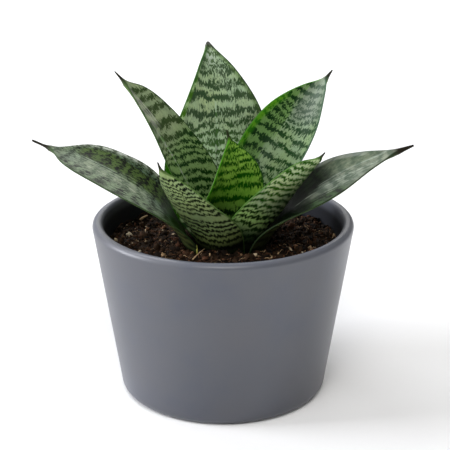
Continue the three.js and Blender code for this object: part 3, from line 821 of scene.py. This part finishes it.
def pot_outside(z):
    """Radius of the pot's outer side at a height, in mm."""
    return POT_FOOT_RADIUS + (POT_RIM_RADIUS - POT_FOOT_RADIUS) * z / POT_HEIGHT


def pot_inside(z):
    """Radius of the pot's inner side at a height, in mm."""
    return pot_outside(z) - POT_WALL


def corner(x, z, radius, start, end, steps):
    """Points of a round corner about (x, z), between two angles in degrees."""
    angles = np.radians(np.linspace(start, end, steps + 1))
    return [(x + radius * math.cos(a), z + radius * math.sin(a)) for a in angles]


def glazed_stoneware(settings, name, gloss, painted_shade_inside):
    """Stoneware, thrown and dipped in a satin glaze: soft highlights, faint cloudy patches a few
    centimetres wide and a fine even grain, drawn 1 mm wide so that it shows. Over the top of the
    lip its colour is painted paler, as painted light from above. Inside the pot it is matt and its
    colour gets darker downwards, as painted shade."""
    material, node = new_material(name)
    where = node("TexCoord").outputs["Object"]
    clouds = {"Vector": where, "Scale": 28.0, "Detail": 4.0, "Roughness": 0.6}
    clouds = node("TexNoise", clouds)
    cool, plain, warm = (0.90, 0.93, 1.0, 1), (1.0, 1.0, 1.0, 1), (1.06, 1.03, 1.0, 1)
    tint = node("ValToRGB", {0: clouds}, stops=[(0.3, cool), (0.5, plain), (0.7, warm)])
    colour = node("VectorMath", {0: tint, 1: settings.glaze[:3]}, operation="MULTIPLY")
    height = node("SeparateXYZ", {0: where}).outputs[2]
    # Painted shade inside the pot, darker downwards, and painted light over the top of the lip.
    for (start, end), change in ((PAINTED_SHADE_BELOW_RIM, painted_shade_inside), (LIP_BELOW_RIM, LIP_PAINTED_LIGHT)):
        change = node(
            "MapRange",
            {
                "Value": height, "From Min": (POT_HEIGHT - start) * MM,
                "From Max": (POT_HEIGHT - end) * MM, "To Min": 1.0, "To Max": change,
            },
            interpolation_type="SMOOTHSTEP",
        )
        colour = node("VectorMath", {0: colour, "Scale": change}, operation="SCALE")
    grain = {"Vector": where, "Scale": 900.0, "Detail": 2.0, "Roughness": 0.5}
    grain = node("TexNoise", grain)
    bump = node("Bump", {"Height": grain, "Strength": 0.12, "Distance": 0.0002})
    rough = spread(node, clouds, settings.roughness - 0.04, settings.roughness + 0.04)
    glaze = {"Base Color": colour, "Roughness": rough, "IOR": 1.5, "Normal": bump}
    shader = node("BsdfPrincipled", {**glaze, "Specular IOR Level": gloss})
    node("OutputMaterial", {"Surface": shader})
    return material


def natural_material(name, kind, pattern, stops, relief, surface, tone=0, lower=0, **settings):
    """A rough natural material whose pattern gives both its shades and its relief. tone is how much
    of the pattern is added to the own tone of each lump, and lower what is taken off."""
    material, node = new_material(name)
    where = node("TexCoord").outputs["Object"]
    texture = node(kind, {"Vector": where, **pattern}, **settings)
    mixed = texture
    if tone:
        own = node("Attribute", attribute_name="tone").outputs["Fac"]
        mixed = node("Math", {0: texture, 1: tone, 2: own}, operation="MULTIPLY_ADD")
    if lower:
        mixed = node("Math", {0: mixed, 1: lower}, operation="SUBTRACT")
    colour = node("ValToRGB", {0: mixed}, stops=stops)
    bump = node("Bump", {"Height": texture, **relief})
    shader = node("BsdfPrincipled", {"Base Color": colour, "Normal": bump, **surface})
    node("OutputMaterial", {"Surface": shader})
    return material


def soil_height(x, y):
    """Height of the soil in mm: a low mound with clods, crumbs and grit."""
    away = min(math.hypot(x, y) / pot_inside(SOIL_AT_WALL), 1)
    height = SOIL_AT_WALL + SOIL_MOUND * (1 - ease(away))
    for high, wide, layer in SOIL_LUMPS:
        height += high * noise.noise(Vector((x / wide, y / wide, layer)))
    return height


def plant_reach(settings, directions, low, high):
    """Outermost radius of the leaves in each direction, in mm, between two heights."""
    reach = np.zeros(directions)
    for name in LEAVES:
        upper, lower, _ = leaf_rings(name, settings)
        for side in (upper, lower):
            for share in (0.0, 0.5):
                p = (side[:-1] * (1 - share) + side[1:] * share).reshape(-1, 3)
                p = p[(p[:, 2] > low) & (p[:, 2] < high)]
                turn = np.arctan2(p[:, 1], p[:, 0]) / (2 * math.pi) * directions
                turn = np.round(turn).astype(int) % directions
                np.maximum.at(reach, turn, np.hypot(p[:, 0], p[:, 1]))
    return reach


def make_soil_bed(plant, material):
    """The soil's body: its rough top meets the pot's wall and the leaves, and dips under them."""
    segments, rings, directions = 420, 110, 140
    reach = plant_reach(plant, directions, SOIL_AT_WALL - 1, SOIL_AT_WALL + 4)
    angles = np.arange(segments) * 2 * math.pi / segments
    known = np.arange(directions + 1) * 2 * math.pi / directions
    reach = np.interp(angles, known, np.append(reach, reach[0]))
    wall = pot_inside(SOIL_AT_WALL) - GAP
    points, tones = [], []

    def ring(radii, height_at):
        for angle, radius in zip(angles, radii):
            x, y = radius * math.cos(angle), radius * math.sin(angle)
            points.append((x, y, height_at(x, y)))
            tones.append(0.3 + 0.25 * noise.noise(Vector((x / 5, y / 5, 9.3))))

    bottom, top = POT_FLOOR + GAP, LEAF_BASE + 2
    corner_z = POT_FLOOR + INSIDE_CORNER_RADIUS
    flat = pot_inside(corner_z) - GAP
    rounding = 0.3 * INSIDE_CORNER_RADIUS
    ring([flat - INSIDE_CORNER_RADIUS] * segments, lambda x, y: bottom)
    ring([flat - rounding] * segments, lambda x, y: bottom + rounding)
    ring([flat] * segments, lambda x, y: corner_z)
    for i in range(rings + 1):
        ring(wall + (reach - wall) * i / rings, soil_height)
    ring(reach - 1.5, lambda x, y: soil_height(x, y) - 3)
    ring(reach * 0.6, lambda x, y: top)
    faces = closed_skin(len(points) // segments, segments)
    points += [(0, 0, bottom), (0, 0, top)]
    tones += [0.2, 0.2]
    bed = new_piece("soil_bed", points, faces, [material], "soil", tones)
    return reach


def scatter(reach, count, rng):
    """Random places on the soil outside the plant, in mm."""
    places = []
    wall = pot_inside(SOIL_AT_WALL)
    while len(places) < count:
        radius = wall * math.sqrt(rng.random())
        angle = 2 * math.pi * rng.random()
        plant = reach[int(angle / (2 * math.pi) * len(reach)) % len(reach)]
        if plant + CLEAR_OF_PLANT < radius < wall - CLEAR_OF_WALL:
            places.append((radius * math.cos(angle), radius * math.sin(angle)))
    return places


def lumps(name, places, sizes, tones, rng, material):
    """One piece of irregular lumps that lie on the soil, each with a tone of its own."""
    ball = bmesh.new()
    bmesh.ops.create_icosphere(ball, subdivisions=2, radius=1.0)
    shape = np.array([v.co for v in ball.verts])
    ball_faces = np.array([[v.index for v in f.verts] for f in ball.faces])
    ball.free()
    points, faces = [], []
    for i, (x, y) in enumerate(places):
        # A ball is stretched, dented by noise, turned and let down into the soil.
        size = sizes[i] / 2
        stretch = rng.uniform(0.4, 1.5, 3)
        bumps = [noise.noise(Vector(p * 1.6) + Vector((i * 3.7, 0, 0))) for p in shape]
        lump = shape * (1 + 0.8 * np.array(bumps))[:, None] * stretch * size
        turn = np.array(Euler(rng.uniform(0, 6.28, 3)).to_matrix())
        lump = lump @ turn.T
        lump += (x, y, soil_height(x, y) + 0.35 * size)
        faces.append(ball_faces + len(shape) * i)
        points.append(lump)
    points, faces = np.concatenate(points), np.concatenate(faces).tolist()
    piece = new_piece(name, points, faces, [material], tones=np.repeat(tones, len(shape)))


def strands(name, lines, radii, tones, material, sides=5):
    """One piece of thin tapered strands along the given lines of points, in mm."""
    points, faces, values = [], [], []
    for line, radius, tone in zip(lines, radii, tones):
        line = np.asarray(line, float)
        start = len(points)
        along = np.gradient(line, axis=0)
        along /= np.linalg.norm(along, axis=1)[:, None]
        side = np.cross(along, (0.2, 0.1, 1.0))
        side /= np.linalg.norm(side, axis=1)[:, None]
        other = np.cross(along, side)
        for i, p in enumerate(line):
            thin = radius * (1 - 0.55 * i / (len(line) - 1))
            for k in range(sides):
                a = 2 * math.pi * k / sides
                points.append(p + thin * (side[i] * math.cos(a) + other[i] * math.sin(a)))
                values.append(tone)
        for i in range(len(line) - 1):
            for k in range(sides):
                a, b = start + i * sides + k, start + i * sides + (k + 1) % sides
                faces.append((a, b, b + sides, a + sides))
        faces.append(tuple(range(start + sides - 1, start - 1, -1)))
        faces.append(tuple(range(start + (len(line) - 1) * sides, start + len(line) * sides)))
    piece = new_piece(name, points, faces, [material], tones=values)


def fibres(reach, count, rng):
    """Lines of points for fibres that wander over the soil and rise off it."""
    wall = pot_inside(SOIL_AT_WALL)
    lines = []
    for x, y in scatter(reach, count, rng):
        heading = rng.uniform(0, 2 * math.pi)
        length = rng.uniform(*FIBRE_LENGTH)
        line = []
        for i in range(FIBRE_STEPS + 1):
            heading += rng.normal(0, 0.22)
            x += math.cos(heading) * length / FIBRE_STEPS
            y += math.sin(heading) * length / FIBRE_STEPS
            if math.hypot(x, y) > wall - CLEAR_OF_WALL:
                x, y = x * 0.985, y * 0.985
            line.append((x, y, soil_height(x, y) + 0.5 + 0.5 * math.sin(i * 1.1)))
        lines.append(line)
    return lines


class SNAKEPLANT_OT_leaves(bpy.types.Operator):
    """Makes the eight leaves"""

    bl_idname = "snakeplant.leaves"
    bl_label = "Leaves"

    def execute(self, context):
        for number, name in enumerate(LEAVES):
            make_leaf(name, number, context.scene.snakeplant_leaves)
        return {"FINISHED"}


class SNAKEPLANT_OT_soil(bpy.types.Operator):
    """Makes the potting soil with its crumbs, grains and fibres"""

    bl_idname = "snakeplant.soil"
    bl_label = "Soil"

    def execute(self, context):
        settings = context.scene.snakeplant_soil
        rng = np.random.default_rng(settings.seed)
        # Damp peat mix, loose and fibrous: rough, nearly black in its hollows and reddish brown on
        # its crumbs, with mottles 2.4 mm wide.
        peat = natural_material(
            "Damp fibrous peat", "TexNoise", {"Scale": 420.0, "Detail": 4.0, "Roughness": 0.7},
            [
                (0.0, linear("#0a0604")), (0.25, tuple(settings.darkest)), (0.5, linear("#342415")),
                (0.75, tuple(settings.reddest)), (0.9, linear("#86664a")), (1.0, linear("#bb9c76")),
            ],
            {"Strength": 0.6, "Distance": 0.0006},
            {"Roughness": 0.85, "IOR": 1.4, "Specular IOR Level": 0.2}, tone=0.8, lower=0.4,
        )
        # Grains of bark, straw and expanded mineral, crushed: dry, matt and cream to tan, with
        # mottles 1.1 mm wide.
        grit = natural_material(
            "Dry crushed grit", "TexNoise", {"Scale": 900.0, "Detail": 3.0, "Roughness": 0.6},
            [
                (0.2, linear("#7a5a3d")), (0.6, linear("#a88c68")), (0.95, linear("#cdbb9c")),
                (1.0, linear("#d9cdb4")),
            ],
            {"Strength": 0.5, "Distance": 0.0003}, {"Roughness": 0.8, "IOR": 1.45}, tone=0.5,
        )
        # Base of a small offset, grown and dried off: fibrous, yellow green going to straw, with
        # fibres 1.4 mm wide.
        dried = natural_material(
            "Fibrous dried offset", "TexNoise", {"Scale": 700.0, "Detail": 3.0, "Roughness": 0.6},
            [(0.3, linear("#5f6a1e")), (0.7, linear("#a8a448"))],
            {"Strength": 0.4, "Distance": 0.0003}, {"Roughness": 0.7, "IOR": 1.45},
        )
        reach = make_soil_bed(context.scene.snakeplant_leaves, peat)
        places = scatter(reach, settings.crumbs, rng)
        sizes = np.clip(rng.lognormal(0.28, 0.45, len(places)), *CRUMB_WIDTH)
        tones = np.clip(rng.normal(0.38, 0.22, len(places)), 0.05, 1.0)
        half = len(places) // 2
        lumps("soil_crumbs_a", places[:half], sizes[:half], tones[:half], rng, peat)
        lumps("soil_crumbs_b", places[half:], sizes[half:], tones[half:], rng, peat)
        small = scatter(reach, settings.grains, rng)
        grain_places = [(x, y) for x, y, _ in LARGE_GRAINS] + small
        grain_sizes = [size for _, _, size in LARGE_GRAINS]
        grain_sizes += list(rng.uniform(*GRAIN_WIDTH, len(small)))
        tones = rng.uniform(0.2, 0.9, len(grain_places))
        lumps("soil_grains", grain_places, grain_sizes, tones, rng, grit)
        lines = fibres(reach, settings.fibres, rng)
        tones = np.clip(rng.normal(0.68, 0.2, len(lines)), 0.1, 1)
        radii = rng.uniform(*FIBRE_RADIUS, len(lines))
        strands("soil_fibres", lines, radii, tones, peat)
        strands("straw_and_bark", *zip(*STRAW_AND_BARK), grit, 7)
        strands("offset_stub", *zip(*STUBS), dried, 8)
        return {"FINISHED"}


class SNAKEPLANT_OT_pot(bpy.types.Operator):
    """Makes the round pot with its lip and foot"""

    bl_idname = "snakeplant.pot"
    bl_label = "Pot"

    def execute(self, context):
        settings = context.scene.snakeplant_pot
        slope = (POT_RIM_RADIUS - POT_FOOT_RADIUS) / POT_HEIGHT
        lean = math.degrees(math.atan(slope))
        lip_z = POT_HEIGHT - LIP_RADIUS
        lip_x = pot_inside(lip_z) + LIP_RADIUS
        corner_z = POT_FLOOR + INSIDE_CORNER_RADIUS
        corner_x = pot_inside(corner_z) - INSIDE_CORNER_RADIUS
        foot_x = pot_outside(FOOT_EDGE_RADIUS) - FOOT_EDGE_RADIUS
        outline = [
            (FOOT_RECESS_RADIUS, FOOT_RECESS_DEPTH),
            (FOOT_RECESS_RADIUS + FOOT_RECESS_DEPTH, 0),
            *corner(foot_x, FOOT_EDGE_RADIUS, FOOT_EDGE_RADIUS, -90, -lean, 8),
            *[(pot_outside(z), z) for z in np.linspace(8, 90, 12)],
            *corner(lip_x, lip_z, LIP_RADIUS, -lean, 180 - lean, 16),
            *[(pot_inside(z), z) for z in np.linspace(90, 18, 8)],
            *corner(corner_x, corner_z, INSIDE_CORNER_RADIUS, -lean, -90, 6),
        ]
        count = settings.segments
        points = []
        for radius, z in outline:
            for i in range(count):
                a = 2 * math.pi * i / count
                points.append((radius * math.cos(a), radius * math.sin(a), z))
        points += [(0, 0, FOOT_RECESS_DEPTH), (0, 0, POT_FLOOR)]
        faces = closed_skin(len(outline), count)
        glazes = [
            # The second glaze, on the inner wall, holds painted shade that darkens downwards.
            glazed_stoneware(settings, "Satin glazed stoneware", 0.5, 1.0),
            glazed_stoneware(settings, "Satin glazed stoneware with painted shade inside", 0.12, 0.2),
        ]
        pot = new_piece("stoneware_pot", points, faces, glazes, "pot")
        for face in pot.data.polygons:
            x, y, z = face.center / MM
            inside = math.hypot(x, y) < lip_x - slope * (lip_z - z)
            face.material_index = int(inside and POT_FLOOR - 0.1 < z < POT_HEIGHT)
        return {"FINISHED"}


class SNAKEPLANT_OT_rhizome(bpy.types.Operator):
    """Gives the rhizome in the soil its rind"""

    bl_idname = "snakeplant.rhizome"
    bl_label = "Rhizome"

    def execute(self, context):
        # Rhizome rind, grown underground: waxy, pale orange brown, with rings of old leaf scars.
        rind = natural_material(
            "Waxy rhizome rind", "TexWave", {"Scale": 60.0, "Distortion": 2.0, "Detail": 2.0},
            [(0.1, linear("#8d5f33")), (0.6, linear("#c08c52"))],
            {"Strength": 0.4, "Distance": 0.0004}, {"Roughness": 0.6, "IOR": 1.45},
            bands_direction="Z",
        )
        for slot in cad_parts["rhizome"].material_slots:
            slot.material = rind
        return {"FINISHED"}


class SNAKEPLANT_OT_stage(bpy.types.Operator):
    """Makes the floor, the lights and the camera"""

    bl_idname = "snakeplant.stage"
    bl_label = "Stage"

    def execute(self, context):
        scene = context.scene
        settings = scene.snakeplant_stage
        mesh = bpy.data.meshes.new("studio_floor")
        low, high = -FLOOR_REACH, FLOOR_REACH
        corners = [(low, low, 0), (high, low, 0), (high, high, 0), (low, high, 0)]
        mesh.from_pydata(corners, [], [(0, 1, 2, 3)])
        # Paper, rolled: matt and nearly white, with a faint cloudy grain 3 mm wide.
        paper, node = new_material("Matt white paper")
        where = node("TexCoord").outputs["Object"]
        grain = node("TexNoise", {"Vector": where, "Scale": 300.0, "Detail": 2.0})
        tint = node("MapRange", {"Value": grain, "To Min": 0.985, "To Max": 1.0})
        colour = node("VectorMath", {0: settings.floor[:3], "Scale": tint}, operation="SCALE")
        shader = node("BsdfDiffuse", {"Color": colour, "Roughness": 0.9})
        node("OutputMaterial", {"Surface": shader})
        mesh.materials.append(paper)
        floor = bpy.data.objects.new("studio_floor", mesh)
        scene.collection.objects.link(floor)

        for name, turn, height, share, tint in LAMPS:
            lamp = bpy.data.lights.new(name, "AREA")
            lamp.shape = "SQUARE"
            lamp.size = settings.box_size
            lamp.energy = settings.power * share
            lamp.color = linear(tint)[:3]
            holder = bpy.data.objects.new(name, lamp)
            turn, height = math.radians(turn), math.radians(height)
            holder.location = (
                LAMP_DISTANCE * math.cos(height) * math.sin(turn),
                -LAMP_DISTANCE * math.cos(height) * math.cos(turn),
                LAMP_DISTANCE * math.sin(height) + LAMP_CENTRE,
            )
            aim = Vector((0, 0, AIM_HEIGHT)) - holder.location
            holder.rotation_euler = aim.to_track_quat("-Z", "Y").to_euler()
            scene.collection.objects.link(holder)

        world = bpy.data.worlds.new("white_room")
        world.use_nodes = True
        world.node_tree.nodes["Background"].inputs[0].default_value = (1, 1, 1, 1)
        world.node_tree.nodes["Background"].inputs[1].default_value = settings.sky
        scene.world = world

        camera = bpy.data.cameras.new("camera")
        camera.lens = settings.lens
        camera.sensor_width = SENSOR_WIDTH
        camera.sensor_fit = "HORIZONTAL"
        holder = bpy.data.objects.new("camera", camera)
        holder.location = settings.camera_place
        holder.rotation_euler = (math.pi / 2 - settings.camera_pitch, 0, 0)
        scene.collection.objects.link(holder)
        scene.camera = holder
        scene.view_settings.view_transform = "Standard"
        return {"FINISHED"}


class SNAKEPLANT_PT_panel(bpy.types.Panel):
    """Lists the plant's settings and steps"""

    bl_label = "Snake Plant"
    bl_idname = "SNAKEPLANT_PT_panel"
    bl_space_type = "VIEW_3D"
    bl_region_type = "UI"
    bl_category = "Snake Plant"

    def draw(self, context):
        for title, settings, operator in GROUPS:
            box = self.layout.box()
            box.label(text=title)
            if settings:
                group = getattr(context.scene, settings)
                for name in group.bl_rna.properties.keys():
                    if name not in ("rna_type", "name"):
                        box.prop(group, name)
            box.operator(operator)


GROUPS = (
    ("Pot", "snakeplant_pot", "snakeplant.pot"),
    ("Soil", "snakeplant_soil", "snakeplant.soil"),
    ("Rhizome", None, "snakeplant.rhizome"),
    ("Leaves", "snakeplant_leaves", "snakeplant.leaves"),
    ("Stage", "snakeplant_stage", "snakeplant.stage"),
)
SETTINGS = {
    "snakeplant_leaves": PlantSettings,
    "snakeplant_soil": SoilSettings,
    "snakeplant_pot": PotSettings,
    "snakeplant_stage": StageSettings,
}
CLASSES = (
    *SETTINGS.values(), SNAKEPLANT_OT_leaves, SNAKEPLANT_OT_soil, SNAKEPLANT_OT_pot,
    SNAKEPLANT_OT_rhizome, SNAKEPLANT_OT_stage, SNAKEPLANT_PT_panel,
)


def register():
    for kind in CLASSES:
        bpy.utils.register_class(kind)
    for name, kind in SETTINGS.items():
        setattr(bpy.types.Scene, name, bpy.props.PointerProperty(type=kind))


def unregister():
    for name in SETTINGS:
        delattr(bpy.types.Scene, name)
    for kind in reversed(CLASSES):
        bpy.utils.unregister_class(kind)


def main():
    register()
    bpy.ops.snakeplant.stage()
    bpy.ops.snakeplant.pot()
    bpy.ops.snakeplant.rhizome()
    bpy.ops.snakeplant.leaves()
    bpy.ops.snakeplant.soil()


if __name__ == "__main__":
    main()
